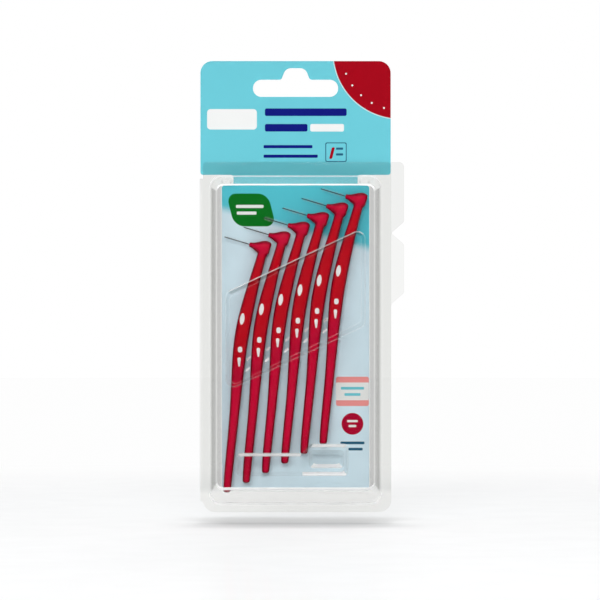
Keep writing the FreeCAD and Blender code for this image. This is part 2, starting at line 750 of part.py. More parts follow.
def build_hinge():
    """Folded strip that joins the two halves of the case on the left."""
    body = new_body("living_hinge")
    body.setExpression("Placement.Base.x", "Place.hinge_x")
    sketch = new_sketch(body, "fold", "XY_Plane", "Place.base_bottom + Size.hinge_inset")
    outer = "Place.hinge_outer"
    inner = "Place.gap_half"
    leg = "(Size.hinge_leg - Size.hinge_gap)"
    outline(sketch, [
        (leg, f"-{outer}", "0"),
        (leg, f"-{inner}", "0"),
        (f"-{inner}", f"-{inner}", f"0.98 * {inner}"),
        (f"-{inner}", inner, f"0.98 * {inner}"),
        (leg, inner, "0"),
        (leg, outer, "0"),
        (f"-{outer}", outer, f"0.98 * {outer}"),
        (f"-{outer}", f"-{outer}", f"0.98 * {outer}"),
    ])
    pad(body, sketch, "Place.base_top - Place.base_bottom - 2 * Size.hinge_inset", "fold_pad")
    return body


nodes = [build_card(), build_back_shell(), build_front_shell(), build_hinge()]
for brush in range(BRUSH_COUNT):
    nodes.append(build_handle(brush))
    nodes.append(build_marks(brush))
    nodes.append(build_wire(brush))
    nodes.append(build_bristles(brush))
doc.recompute()

faulty = [item.Name for item in doc.Objects if {"Invalid", "Error"} & set(item.State)]
faulty += [node.Label for node in nodes if node.Shape.isNull() or not node.Shape.isValid()]
if faulty:
    raise RuntimeError("These did not build: " + ", ".join(faulty))

os.makedirs("parts", exist_ok=True)
for node in nodes:
    node.Shape.exportStep(f"parts/{node.Label}.step")
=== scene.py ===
"""Looks of the hanging pack of six angled brushes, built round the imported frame."""

import math
import random

import bmesh
import bpy
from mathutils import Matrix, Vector
from mathutils.geometry import delaunay_2d_cdt


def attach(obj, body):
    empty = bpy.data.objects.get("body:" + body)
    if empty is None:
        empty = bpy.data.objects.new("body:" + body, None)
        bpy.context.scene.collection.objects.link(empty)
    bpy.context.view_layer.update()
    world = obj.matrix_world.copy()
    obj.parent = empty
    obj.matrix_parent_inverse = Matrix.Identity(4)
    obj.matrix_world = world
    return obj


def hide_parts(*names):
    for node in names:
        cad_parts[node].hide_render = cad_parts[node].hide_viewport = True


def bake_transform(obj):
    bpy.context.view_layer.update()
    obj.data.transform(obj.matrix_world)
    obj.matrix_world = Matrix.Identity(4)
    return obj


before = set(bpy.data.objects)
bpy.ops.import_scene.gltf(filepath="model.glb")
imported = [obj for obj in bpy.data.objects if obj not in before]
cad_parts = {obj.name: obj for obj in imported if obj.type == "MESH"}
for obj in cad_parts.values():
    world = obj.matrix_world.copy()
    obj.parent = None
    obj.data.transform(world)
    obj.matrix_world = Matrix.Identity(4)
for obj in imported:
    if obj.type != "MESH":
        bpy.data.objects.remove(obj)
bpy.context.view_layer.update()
scene = bpy.context.scene
MM = 0.001

# Case, in millimetres; depths run to the front from the middle of the card
GAP, WALL = 0.3, 0.5
BASE_X, BASE_TOP, BASE_BOTTOM, BASE_RADIUS = 38.553, -43.3, -190.916, 5
CASE_X, CASE_TOP, CASE_BOTTOM = 43.053, -37.0, -194.516
FLANGE_LEFT, FLANGE_TOP_RADIUS, FLANGE_FOOT_RADIUS = -41.653, 2, 5.5
TAB_X, TAB_RUN, TAB_RADIUS = 48.853, 5, 2.4
FRONT_TAB_TOP, FRONT_TAB_BOTTOM, BACK_TAB_BOTTOM = -74, -96, -64
WINDOW_X, WINDOW_TOP, WINDOW_BOTTOM, WINDOW_RADIUS = 35.353, -47.5, -183.516, 3
FRONT_DEPTH, HOLD_DEPTH, SPACER_DEPTH, STOP_DEPTH = 12.0, 6.15, 4.4, 1.35

# How far the pack hangs above the floor
HANG_GAP = 4.7

# Slanted band over the grips: bottom and top of its left and right ends, and a line between its long edges
BAND_X, BAND_RADIUS, BAND_INSET = 30.953, 3.2, 1.4
BAND_LEFT, BAND_RIGHT = (-139.5, -95.9), (-110.5, -66.9)
BAND_SPLIT, BAND_SLOPE = -90, 0.468

# Spacers between the grips: middle of the first, half sizes, slants, and how they narrow to their floors
SPACER_X, SPACER_Z = -21.2, -127.8
SPACER_WIDE, SPACER_TALL, SPACER_SLOPE, SPACER_LEAN = 1.05, 2.6, 0.78, 0.22
SPACER_INSET, SPACER_TAPER, SPACER_RADIUS = 0.75, 0.4, 0.25

# Stepped ledge over the tails, and the stop in it below the last tail
LEDGE_LEFT, LEDGE_RIGHT, LEDGE_BOTTOM = -25.953, 23.153, -177.216
LEDGE_LOW_TOP, LEDGE_HIGH_TOP = -167.916, -163.816
LEDGE_STEP_LEFT, LEDGE_STEP_RIGHT = 3.147, 7.247
LEDGE_TOP_SLOPE = 1.15
STOP_LEFT, STOP_RIGHT, STOP_BOTTOM, STOP_TOP = 6.497, 21.297, -174.116, -166.916
STEP_INSET, STEP_RADIUS = 1.2, 1.6

# Where bends get painted white highlights: near the box's ends, and past these lines on the ledge and on the
# stop
BOX_WHITE = 2
LEDGE_TURN, LEDGE_WHITE_X, LEDGE_WHITE_Z, STOP_WHITE_Z = (2.6, 7.4), 5.5, -172, -171

# Stiffening bead and corner blocks of the back; blocks as (bottom, top, lift and drop of the crown)
BEAD_OUTER, BEAD_INNER, BEAD_LEAN, BEAD_DEPTH, BEAD_RADIUS = 6, 9, 0.5, 1.6, 1
BLOCK_NEAR, BLOCK_FAR, BLOCK_LEAN, BLOCK_DEPTH, BLOCK_RADIUS = 28.353, 33.553, 0.5, 3.3, 0.6
BLOCK_LEVELS = ((-47.25, -44.15, 0, 1.26), (-190.066, -185.966, 2.22, 0))

# Corners of an outline: the least radius, and the share of a side that one arc may take
LEAST_RADIUS, ARC_ROOM = 0.2, 0.49

# Bends of each wall: their runs along the flat and up the slope, as shares of the wall
BOX_SOFT, BAND_SOFT, LEDGE_SOFT, STOP_SOFT = (0.1, 0.08), (0.2, 0.08), (0.15, 0.12), (0.08, 0.12)
SPACER_SOFT, BEAD_SOFT, BLOCK_SOFT = (0.1, 0.16), (0.6, 0.3), (0.3, 0.12)
BEND_STEPS = 5

# Hinge strip: middle of its fold, straight lap at both ends of the fold, and its parts
HINGE_X, HINGE_BOTTOM, HINGE_TOP, HINGE_LAP = -42.253, -189.716, -44.5, 0.58
FOLD_STEPS, HINGE_LEVELS = 24, 12

# Brushes: first tail, step to the next, head seen from the tail, and tilt of the wire
BRUSHES = 6
TAIL_X, TAIL_Z, PITCH_X, PITCH_Z = -30.853, -185.516, 8.64, 4.32
HEAD_X, HEAD_Z, BRUSH_Y = 16.537, 109.5, -2.9
WIRE_TILT = math.radians(16.7)

# Wire of two strands: ends and twist measured along it, strands, and how they close at the tip
WIRE_START, WIRE_STOP, WIRE_END, TWIST = 0.9, 18.45, 18.5, 1.3
STRAND_OFFSET, STRAND_RADIUS, STRAND_STEPS, STRAND_SIDES = 0.125, 0.135, 150, 8
TIP_RUN, TIP_SHARE = 0.35, 0.25

# Filaments: count and run along the wire, reach from it, sizes, and how they vary
FILAMENTS, FILAMENT_START, FILAMENT_RUN = 150, 8.0, 9.6
FILAMENT_ROOT, FILAMENT_REACH, FILAMENT_NARROWING = 0.1, 1.12, 0.12
FILAMENT_RADII, FILAMENT_SIDES = (0.028, 0.026, 0.018), 4
FIRST_SEED, STEP_VARY, TURN_VARY, LENGTH_VARY, DRIFT_VARY = 40, 0.6, 0.5, (0.9, 1.0), (-0.12, 0.16)
MIDDLE_REACH, MIDDLE_DRIFT = 0.55, 0.3

# Materials of a formed sheet, by their places in its list; BEND, FAINT and FOLD carry painted highlights
SHEET, BEND, FAINT, PLAIN, FOLD = range(5)


# Mesh helpers
def rounded(corners, steps=8, splits=5):
    """Points of a closed outline through (x, z, radius) corners, with an arc at each and points between."""
    arcs = []
    count = len(corners)
    for number, (x, z, radius) in enumerate(corners):
        here = Vector((x, z))
        before = Vector(corners[number - 1][:2]) - here
        after = Vector(corners[(number + 1) % count][:2]) - here
        room = ARC_ROOM * min(before.length, after.length)
        before.normalize()
        after.normalize()
        half = before.angle(after) / 2
        reach = min(radius / math.tan(half), room)
        radius = reach * math.tan(half)
        centre = here + (before + after).normalized() * (radius / math.sin(half))
        start = here + before * reach - centre
        sweep = math.pi - 2 * half
        if start.cross(here + after * reach - centre) < 0:
            sweep = -sweep
        turns = [sweep * step / steps for step in range(steps + 1)]
        arcs.append([(
            centre.x + start.x * math.cos(turn) - start.y * math.sin(turn),
            centre.y + start.x * math.sin(turn) + start.y * math.cos(turn),
        ) for turn in turns])
    points = []
    for arc, following in zip(arcs, arcs[1:] + arcs[:1]):
        points += arc
        (x, z), (end_x, end_z) = arc[-1], following[0]
        shares = [k / splits for k in range(1, splits)]
        points += [(x + (end_x - x) * share, z + (end_z - z) * share) for share in shares]
    return points


def between(first, last, share):
    """Corners part of the way from one corner list to another, or beyond it."""
    mixed = []
    for a, b in zip(first, last):
        radius = max(a[2] + (b[2] - a[2]) * share, LEAST_RADIUS)
        mixed.append((a[0] + (b[0] - a[0]) * share, a[1] + (b[1] - a[1]) * share, radius))
    return mixed


def curve_point(points, share):
    """Point on a quadratic curve that three (across, along) points steer."""
    keep = 1 - share
    weights = (keep * keep, 2 * keep * share, share * share)
    return tuple(sum(w * p[axis] for w, p in zip(weights, points)) for axis in (0, 1))


def add_ring(mesh, corners, depth):
    """Add one outline at a depth in front of the card as vertices."""
    return [mesh.verts.new((x * MM, -depth * MM, z * MM)) for x, z in rounded(corners)]


def join_rings(mesh, a, b):
    """Add the faces between two closed rings of vertices."""
    faces = []
    for k in range(len(a)):
        n = (k + 1) % len(a)
        faces.append(mesh.faces.new((a[k], a[n], b[n], b[k])))
    return faces


def bend_shade(x, z, steep):
    """Bends with painted pale highlights at both ends of a clear wall."""
    return FOLD, SHEET, FOLD


def add_wall(mesh, first, last, top, floor, soft, shade=bend_shade):
    """Add a drafted wall between two outlines, with a bend at both ends.

    'shade' gives the materials of its first bend, its slope and its last bend.
    """
    flat, lean = soft
    shares = [step / BEND_STEPS for step in range(BEND_STEPS + 1)]
    path = [curve_point(((-flat, 0), (0, 0), (lean, lean)), share) for share in shares]
    path += [curve_point(((1 - lean, 1 - lean), (1, 1), (1 + flat, 1)), share) for share in shares]
    rings = [
        add_ring(mesh, between(first, last, across), top + (floor - top) * along) for across, along in path
    ]
    for level, (a, b) in enumerate(zip(rings, rings[1:])):
        part = (level >= BEND_STEPS) + (level > BEND_STEPS)
        for k, face in enumerate(join_rings(mesh, a, b)):
            here, following = a[k].co, a[(k + 1) % len(a)].co
            spot, run = (here + following) / 2 / MM, following - here
            face.material_index = shade(spot.x, spot.z, abs(run.z) > abs(run.x))[part]
    return rings[0], rings[-1]


def within(spot, outline):
    """Whether a flat point lies inside a closed outline."""
    inside = False
    for a, b in zip(outline, outline[1:] + outline[:1]):
        if (a.y > spot.y) != (b.y > spot.y) and spot.x < a.x + (spot.y - a.y) * (b.x - a.x) / (b.y - a.y):
            inside = not inside
    return inside


def add_flat(mesh, *rings):
    """Fill a flat between an outer ring and the rings of its openings."""
    every = [vertex for ring in rings for vertex in ring]
    outlines = [[Vector((vertex.co.x, vertex.co.z)) / MM for vertex in ring] for ring in rings]
    edges = []
    first = 0
    for ring in rings:
        edges += [(first + k, first + (k + 1) % len(ring)) for k in range(len(ring))]
        first += len(ring)
    spots = [spot for outline in outlines for spot in outline]
    filled = delaunay_2d_cdt(spots, edges, [], 1, 1e-6)
    points, triangles, origins = filled[0], filled[2], filled[3]
    for triangle in triangles:
        spot = sum((points[index] for index in triangle), Vector((0, 0))) / 3
        if within(spot, outlines[0]) and not any(within(spot, hole) for hole in outlines[1:]):
            mesh.faces.new([every[origins[index][0]] for index in triangle])


def face_forward(mesh):
    """Turn the faces so that the skin's outside looks to the front."""
    bmesh.ops.recalc_face_normals(mesh, faces=mesh.faces)
    lean = sum(face.normal.y * face.calc_area() for face in mesh.faces)
    if lean > 0:
        bmesh.ops.reverse_faces(mesh, faces=mesh.faces)


def new_object(name, mesh):
    """Turn a bmesh into a smooth object in the scene."""
    data = bpy.data.meshes.new(name)
    mesh.to_mesh(data)
    mesh.free()
    for polygon in data.polygons:
        polygon.use_smooth = True
    piece = bpy.data.objects.new(name, data)
    scene.collection.objects.link(piece)
    return piece


def add_tube(mesh, path, radii, sides):
    """Add a closed tube along points, with a radius at each."""
    rings = []
    for number, point in enumerate(path):
        ahead = path[min(number + 1, len(path) - 1)] - path[max(number - 1, 0)]
        ahead.normalize()
        aside = Vector((0, 1, 0)) if abs(ahead.y) < 0.8 else Vector((1, 0, 0))
        across = ahead.cross(aside).normalized()
        other = ahead.cross(across)
        ring = []
        for side in range(sides):
            turn = 2 * math.pi * side / sides
            offset = across * math.cos(turn) + other * math.sin(turn)
            ring.append(mesh.verts.new((point + offset * radii[number]) * MM))
        rings.append(ring)
    for a, b in zip(rings, rings[1:]):
        join_rings(mesh, a, b)
    mesh.faces.new(rings[0][::-1])
    mesh.faces.new(rings[-1])


def box_outline(left, right, bottom, top, radius):
    """Corners of a rounded rectangle, counter-clockwise."""
    return [(left, bottom, radius), (right, bottom, radius), (right, top, radius), (left, top, radius)]


# Node helpers
def new_material(name):
    """Material with an empty node tree and its output."""
    material = bpy.data.materials.new(name)
    material.use_nodes = True
    material.node_tree.nodes.clear()
    output = material.node_tree.nodes.new("ShaderNodeOutputMaterial")
    return material, material.node_tree, output


def add_node(tree, kind, **settings):
    """Node with its properties set by name."""
    node = tree.nodes.new(kind)
    for key, setting in settings.items():
        setattr(node, key, setting)
    return node


def wire_in(tree, socket, source):
    """Give an input a link or a plain number."""
    if isinstance(source, (int, float)):
        socket.default_value = source
    else:
        tree.links.new(source, socket)


def math_node(tree, operation, *sources):
    """Math node fed by links or numbers."""
    node = add_node(tree, "ShaderNodeMath", operation=operation)
    for socket, source in zip(node.inputs, sources):
        wire_in(tree, socket, source)
    return node.outputs[0]


def ramp_node(tree, factor, stops):
    """Colour ramp with (place, colour) stops."""
    node = add_node(tree, "ShaderNodeValToRGB")
    while len(node.color_ramp.elements) < len(stops):
        node.color_ramp.elements.new(0.5)
    for element, (place, colour) in zip(node.color_ramp.elements, stops):
        element.position = place
        element.color = (*colour, 1)
    tree.links.new(factor, node.inputs[0])
    return node.outputs[0]


def map_node(tree, source, low, high, to_low, to_high):
    """Clamped smooth map from one range to another."""
    node = add_node(tree, "ShaderNodeMapRange", interpolation_type="SMOOTHSTEP")
    for socket, number in zip(node.inputs[1:5], (low, high, to_low, to_high)):
        socket.default_value = number
    tree.links.new(source, node.inputs[0])
    return node.outputs[0]


def span_node(tree, source, start, end):
    """One where a measure lies between two soft edges, none outside them."""
    return math_node(
        tree, "MULTIPLY", map_node(tree, source, *start, 0, 1), map_node(tree, source, *end, 1, 0))


def mix_colour(tree, factor, under, over):
    """Lay one colour over another by a mask."""
    node = add_node(tree, "ShaderNodeMix", data_type="RGBA")
    wire_in(tree, node.inputs[0], factor)
    for socket, colour in ((node.inputs[6], under), (node.inputs[7], over)):
        if isinstance(colour, tuple):
            socket.default_value = (*colour, 1)
        else:
            tree.links.new(colour, socket)
    return node.outputs[2]


def scaled(colour, share):
    """A colour made darker or lighter."""
    return tuple(part * share for part in colour)


def split_node(tree, source):
    """The x, y and z of a vector."""
    node = add_node(tree, "ShaderNodeSeparateXYZ")
    tree.links.new(source, node.inputs[0])
    return node.outputs


def own_place(tree):
    """Place in the object's own coordinates, in metres."""
    return add_node(tree, "ShaderNodeTexCoord").outputs["Object"]


def surface_normal(tree):
    """Direction in which the surface looks."""
    return add_node(tree, "ShaderNodeNewGeometry").outputs["Normal"]


def noise_node(tree, scale, detail, stretch=(1, 1, 1)):
    """Noise over the object's own coordinates."""
    mapping = add_node(tree, "ShaderNodeMapping")
    mapping.inputs["Scale"].default_value = stretch
    tree.links.new(own_place(tree), mapping.inputs[0])
    noise = add_node(tree, "ShaderNodeTexNoise")
    noise.inputs["Scale"].default_value = scale
    noise.inputs["Detail"].default_value = detail
    tree.links.new(mapping.outputs[0], noise.inputs[0])
    return noise.outputs[0]


def bump_node(tree, height, strength, distance):
    """Bump from a height field."""
    node = add_node(tree, "ShaderNodeBump")
    node.inputs["Strength"].default_value = strength
    node.inputs["Distance"].default_value = distance
    tree.links.new(height, node.inputs["Height"])
    return node.outputs[0]


def mix_shader(tree, factor, first, last):
    """Mix two shaders by a mask or a plain share."""
    node = add_node(tree, "ShaderNodeMixShader")
    wire_in(tree, node.inputs[0], factor)
    tree.links.new(first.outputs[0], node.inputs[1])
    tree.links.new(last.outputs[0], node.inputs[2])
    return node


def surface_shader(tree, colour, roughness):
    """Standard surface with a varied colour and roughness."""
    shader = add_node(tree, "ShaderNodeBsdfPrincipled")
    tree.links.new(colour, shader.inputs["Base Color"])
    tree.links.new(roughness, shader.inputs["Roughness"])
    return shader


def patch_group():
    """Group that gives the mask of a rounded rectangle in millimetres on the card."""
    group = bpy.data.node_groups.new("printed_patch", "ShaderNodeTree")
    words = ("X", "Z", "Centre X", "Centre Z", "Half X", "Half Z", "Radius", "Slant")
    for word in words:
        group.interface.new_socket(word, in_out="INPUT", socket_type="NodeSocketFloat")
    group.interface.new_socket("Mask", in_out="OUTPUT", socket_type="NodeSocketFloat")
    start = group.nodes.new("NodeGroupInput")
    end = group.nodes.new("NodeGroupOutput")
    x, z, cx, cz, hx, hz, radius, slant = start.outputs[:len(words)]
    dz = math_node(group, "SUBTRACT", z, cz)
    upright = math_node(group, "SUBTRACT", x, cx)
    dx = math_node(group, "SUBTRACT", upright, math_node(group, "MULTIPLY", dz, slant))

    def past(distance, half):
        """How far a spot lies past the straight part of a side."""
        beyond = math_node(group, "SUBTRACT", math_node(group, "ABSOLUTE", distance), half)
        return math_node(group, "ADD", beyond, radius)

    qx, qz = past(dx, hx), past(dz, hz)
    far_x = math_node(group, "POWER", math_node(group, "MAXIMUM", qx, 0.0), 2.0)
    far_z = math_node(group, "POWER", math_node(group, "MAXIMUM", qz, 0.0), 2.0)
    outside = math_node(group, "SQRT", math_node(group, "ADD", far_x, far_z))
    inside = math_node(group, "MINIMUM", math_node(group, "MAXIMUM", qx, qz), 0.0)
    distance = math_node(group, "SUBTRACT", math_node(group, "ADD", outside, inside), radius)
    group.links.new(map_node(group, distance, -PATCH_SOFT, PATCH_SOFT, 1, 0), end.inputs[0])
    return group


# Colours of the print, as shares of the light that comes back
TEAL = (0.154, 0.595, 0.69)
DEEP_TEAL = (0.097, 0.57, 0.68)
PALE = (0.68, 0.84, 0.93)
NAVY = (0.004, 0.008, 0.19)
SIGNAL_RED = (0.36, 0.001, 0.009)
LEAF_GREEN = (0.001, 0.17, 0.012)
PAPER = (0.86, 0.87, 0.86)
INK = (0.02, 0.11, 0.2)
SALMON = (0.9, 0.32, 0.31)
CRIMSON = (0.43, 0.001, 0.028)

# Coloured corner of the header: middle and radius of its arc, and a row of dots inside it
CORNER_X, CORNER_Z, CORNER_RADIUS = 47.0, 12.5, 30.0
DOT_REACH, DOT_HALF = 26.2, 0.42
DOT_TURNS = [math.radians(202 + 13 * step) for step in range(5)]

# Soft edges of the print, the edge between insert and header, and the slanted fade below it
PATCH_SOFT, PRINT_SOFT = 0.06, 0.1
CORNER_LINE = (0.35, 0.5)
HEADER_EDGE, HEADER_DRIFT = (-47.3, -46.9), (-50, 10)
FADE_EDGE, FADE_SLANT = (-69.5, -64.5), 0.27

# Rows of bars on the card's back: turn of a wave per millimetre, half length, raggedness and ends
ROW_TURN, ROW_HALF, ROW_RAGGED = 2.1, 24.0, 14.0
ROWS_BOTTOM, ROWS_TOP = (-172, -171.8), (-60.2, -60)
BACK_PAPER = (0.7, 0.76, 0.78)

# Printed patches as (centre x, centre z, half x, half z, radius, slant, colour)
CORNER_PATCHES = [
    (
        CORNER_X + DOT_REACH * math.cos(turn), CORNER_Z + DOT_REACH * math.sin(turn),
        DOT_HALF, DOT_HALF, DOT_HALF, 0.0, PAPER,
    ) for turn in DOT_TURNS
]
HEADER_PATCHES = [
    (-28.6, -17.8, 11.2, 4.6, 1.6, 0.0, PAPER),
    (4.6, -14.6, 18.4, 1.7, 0.8, 0.0, NAVY),
    (-4.2, -21.6, 9.6, 1.7, 0.8, 0.0, NAVY),
    (14.2, -21.6, 7.6, 1.7, 0.8, 0.0, PAPER),
    (-3.4, -30.1, 11.0, 0.7, 0.4, 0.0, NAVY),
    (-2.2, -34.4, 12.2, 0.7, 0.4, 0.0, NAVY),
    (18.2, -32.6, 4.8, 4.4, 0.8, 0.0, INK),
    (18.2, -32.6, 4.4, 4.0, 0.6, 0.0, TEAL),
    (16.4, -33.0, 0.7, 2.6, 0.5, 0.25, SIGNAL_RED),
    (19.8, -31.0, 1.6, 0.5, 0.3, 0.0, INK),
    (19.8, -33.6, 1.6, 0.5, 0.3, 0.0, INK),
]
INSERT_PATCHES = [
    (-20.0, -58.6, 9.4, 7.4, 4.6, -0.25, LEAF_GREEN),
    (-20.6, -57.0, 6.2, 0.7, 0.4, 0.0, PAPER),
    (-22.0, -60.0, 4.4, 0.7, 0.4, 0.0, PAPER),
    (25.6, -140.2, 7.4, 6.6, 1.0, 0.0, SALMON),
    (25.6, -140.2, 7.4, 4.0, 0.4, 0.0, PAPER),
    (25.6, -138.8, 5.2, 0.6, 0.3, 0.0, TEAL),
    (25.6, -141.6, 3.6, 0.6, 0.3, 0.0, TEAL),
    (25.6, -154.8, 4.9, 4.9, 4.9, 0.0, CRIMSON),
    (25.6, -153.6, 2.4, 0.5, 0.3, 0.0, PAPER),
    (25.6, -155.8, 1.7, 0.5, 0.3, 0.0, PAPER),
    (25.6, -163.4, 5.4, 0.6, 0.3, 0.0, INK),
    (27.0, -166.2, 3.2, 0.6, 0.3, 0.0, INK),
]


# Clear sheet: lighter tint of its foot (painted light), white of the painted highlights on its bends, grey
# of many layers, mirror straight on and grazing
FOOT_TINT, HIGHLIGHT_WHITE, MILKY_GREY = (0.978, 0.977, 0.972), (0.98, 0.98, 0.98, 1), (0.8, 0.8, 0.8, 1)
MANY_LAYERS, MIRROR_STRAIGHT, MIRROR_GRAZING = 5.5, 0.004, 0.2

# Where the clear sheet and the handles change, in metres; the strip is a band of painted shade by the
# window's sides
CLEAR_FOOT = (-0.187, -0.183)
STRIP_NEAR, STRIP_FAR = (0.0325, 0.0337), (0.0354, 0.0368)
STRIP_MIDDLE, STRIP_END = 0.1155, (0.0665, 0.0685)
GRIP_BOTTOM, GRIP_TOP, GRIP_SLANT = (-0.119, -0.111), (-0.074, -0.070), 0.5


def card_material():
    """Coated card: printed front, plain back with rows of bars, bare cut edges."""
    material, tree, output = new_material("coated_card")
    own = split_node(tree, own_place(tree))
    x = math_node(tree, "MULTIPLY", own[0], 1 / MM)
    z = math_node(tree, "MULTIPLY", own[2], 1 / MM)
    group = patch_group()

    def lay(under, patches):
        """Print patches over a colour."""
        for *numbers, colour in patches:
            node = add_node(tree, "ShaderNodeGroup", node_tree=group)
            tree.links.new(x, node.inputs[0])
            tree.links.new(z, node.inputs[1])
            for socket, number in zip(node.inputs[2:], numbers):
                socket.default_value = number
            under = mix_colour(tree, node.outputs[0], under, colour)
        return under

    slope = math_node(tree, "ADD", z, math_node(tree, "MULTIPLY", x, FADE_SLANT))
    upper = map_node(tree, slope, *FADE_EDGE, 0, 1)
    tint = noise_node(tree, scale=60, detail=3)
    pale = ramp_node(tree, tint, [(0.3, scaled(PALE, 0.95)), (0.7, scaled(PALE, 1.04))])
    insert = lay(mix_colour(tree, upper, pale, DEEP_TEAL), INSERT_PATCHES)
    ground = mix_colour(tree, map_node(tree, z, *HEADER_DRIFT, 0, 1), TEAL, scaled(TEAL, 0.97))
    header = lay(ground, HEADER_PATCHES)
    away = math_node(tree, "SQRT", math_node(
        tree, "ADD",
        math_node(tree, "POWER", math_node(tree, "SUBTRACT", x, CORNER_X), 2.0),
        math_node(tree, "POWER", math_node(tree, "SUBTRACT", z, CORNER_Z), 2.0),
    ))
    past = math_node(tree, "SUBTRACT", away, CORNER_RADIUS)
    header = mix_colour(tree, map_node(tree, past, *CORNER_LINE, 0.6, 0), header, PAPER)
    corner = map_node(tree, past, -PRINT_SOFT, PRINT_SOFT, 1, 0)
    header = lay(mix_colour(tree, corner, header, SIGNAL_RED), CORNER_PATCHES)
    on_header = map_node(tree, z, *HEADER_EDGE, 0, 1)
    front = mix_colour(tree, on_header, insert, header)

    rows = math_node(tree, "SINE", math_node(tree, "MULTIPLY", z, ROW_TURN))
    vary = noise_node(tree, scale=240, detail=0, stretch=(0, 0, 1))
    ragged = math_node(tree, "SUBTRACT", ROW_HALF, math_node(tree, "MULTIPLY", vary, ROW_RAGGED))
    past_end = math_node(tree, "SUBTRACT", math_node(tree, "ABSOLUTE", x), ragged)
    ends = map_node(tree, past_end, -PRINT_SOFT, PRINT_SOFT, 1, 0)
    block = span_node(tree, z, ROWS_BOTTOM, ROWS_TOP)
    lines = map_node(tree, rows, 0.62, 0.72, 0, 1)
    bars = math_node(tree, "MULTIPLY", math_node(tree, "MULTIPLY", ends, block), lines)
    back = mix_colour(tree, on_header, BACK_PAPER, TEAL)
    back = mix_colour(tree, math_node(tree, "MULTIPLY", bars, 0.7), back, NAVY)

    facing = split_node(tree, surface_normal(tree))[1]
    colour = mix_colour(tree, map_node(tree, facing, 0.4, 0.6, 0, 1), front, back)
    flat = map_node(tree, math_node(tree, "ABSOLUTE", facing), 0.4, 0.6, 0, 1)
    colour = mix_colour(tree, flat, PAPER, colour)

    fibre = noise_node(tree, scale=2600, detail=4)
    shader = surface_shader(tree, colour, map_node(tree, fibre, 0.2, 0.8, 0.42, 0.6))
    tree.links.new(bump_node(tree, fibre, strength=0.12, distance=0.00004), shader.inputs["Normal"])
    shader.inputs["Specular IOR Level"].default_value = 0.03
    tree.links.new(shader.outputs[0], output.inputs[0])
    return material


def clear_material(name, highlight_share, slope, flat=0.955, strip_shade=0.0):
    """Thin clear sheet: light passes, slopes turn grey and the outside mirrors softly.

    Bends get painted white highlights, and many layers in a row turn milky.
    """
    material, tree, output = new_material(name)
    weight = add_node(tree, "ShaderNodeLayerWeight")
    weight.inputs[0].default_value = 0.5
    facing = weight.outputs["Facing"]
    ripple = noise_node(tree, scale=90, detail=2)
    tint = ramp_node(tree, facing, [
        (0.0, (flat, flat + 0.002, flat - 0.003)), (0.5, (flat - 0.012, flat - 0.01, flat - 0.015)),
        (0.75, (slope, slope + 0.002, slope - 0.003)), (1.0, (slope - 0.25, slope - 0.248, slope - 0.252)),
    ])
    own = split_node(tree, own_place(tree))
    # Painted light: a clearer tint at the foot lifts the floor's shade seen through it.
    tint = mix_colour(tree, map_node(tree, own[2], *CLEAR_FOOT, 1, 0), tint, FOOT_TINT)
    # Painted shade: a darker strip in the sheet's tint beside the window's sides.
    if strip_shade:
        reach = math_node(tree, "ABSOLUTE", own[0])
        across = span_node(tree, reach, STRIP_NEAR, STRIP_FAR)
        height = math_node(tree, "ABSOLUTE", math_node(tree, "ADD", own[2], STRIP_MIDDLE))
        strip = math_node(tree, "MULTIPLY", across, map_node(tree, height, *STRIP_END, 1, 0))
        tint = mix_colour(tree, strip, tint, (strip_shade, strip_shade, strip_shade))
    through = add_node(tree, "ShaderNodeBsdfTransparent")
    tree.links.new(tint, through.inputs[0])
    shine = add_node(tree, "ShaderNodeBsdfGlossy")
    tree.links.new(map_node(tree, ripple, 0.3, 0.7, 0.05, 0.11), shine.inputs["Roughness"])
    tree.links.new(bump_node(tree, ripple, strength=0.08, distance=0.0006), shine.inputs["Normal"])
    graze = math_node(tree, "MULTIPLY", math_node(tree, "POWER", facing, 5.0), MIRROR_GRAZING)
    side = add_node(tree, "ShaderNodeNewGeometry")
    outside = math_node(tree, "SUBTRACT", 1.0, side.outputs["Backfacing"])
    mirror = math_node(tree, "MULTIPLY", math_node(tree, "ADD", graze, MIRROR_STRAIGHT), outside)
    mixed = mix_shader(tree, mirror, through, shine)
    ray = add_node(tree, "ShaderNodeLightPath")
    lit = math_node(tree, "SUBTRACT", 1.0, ray.outputs["Is Shadow Ray"])
    if highlight_share:
        # Painted highlight: diffuse white over the bends, left out of shadow rays.
        white = add_node(tree, "ShaderNodeBsdfDiffuse")
        white.inputs[0].default_value = HIGHLIGHT_WHITE
        cloud = noise_node(tree, scale=120, detail=2)
        painted_highlight = map_node(tree, cloud, 0.35, 0.6, 0.9 * highlight_share, highlight_share)
        highlight_mask = math_node(tree, "MULTIPLY", math_node(tree, "MULTIPLY", painted_highlight, outside), lit)
        mixed = mix_shader(tree, highlight_mask, mixed, white)
    milky = add_node(tree, "ShaderNodeBsdfDiffuse")
    milky.inputs[0].default_value = MILKY_GREY
    many = math_node(tree, "GREATER_THAN", ray.outputs["Transparent Depth"], MANY_LAYERS)
    stacked = mix_shader(tree, math_node(tree, "MULTIPLY", many, lit), mixed, milky)
    tree.links.new(stacked.outputs[0], output.inputs[0])
    return material


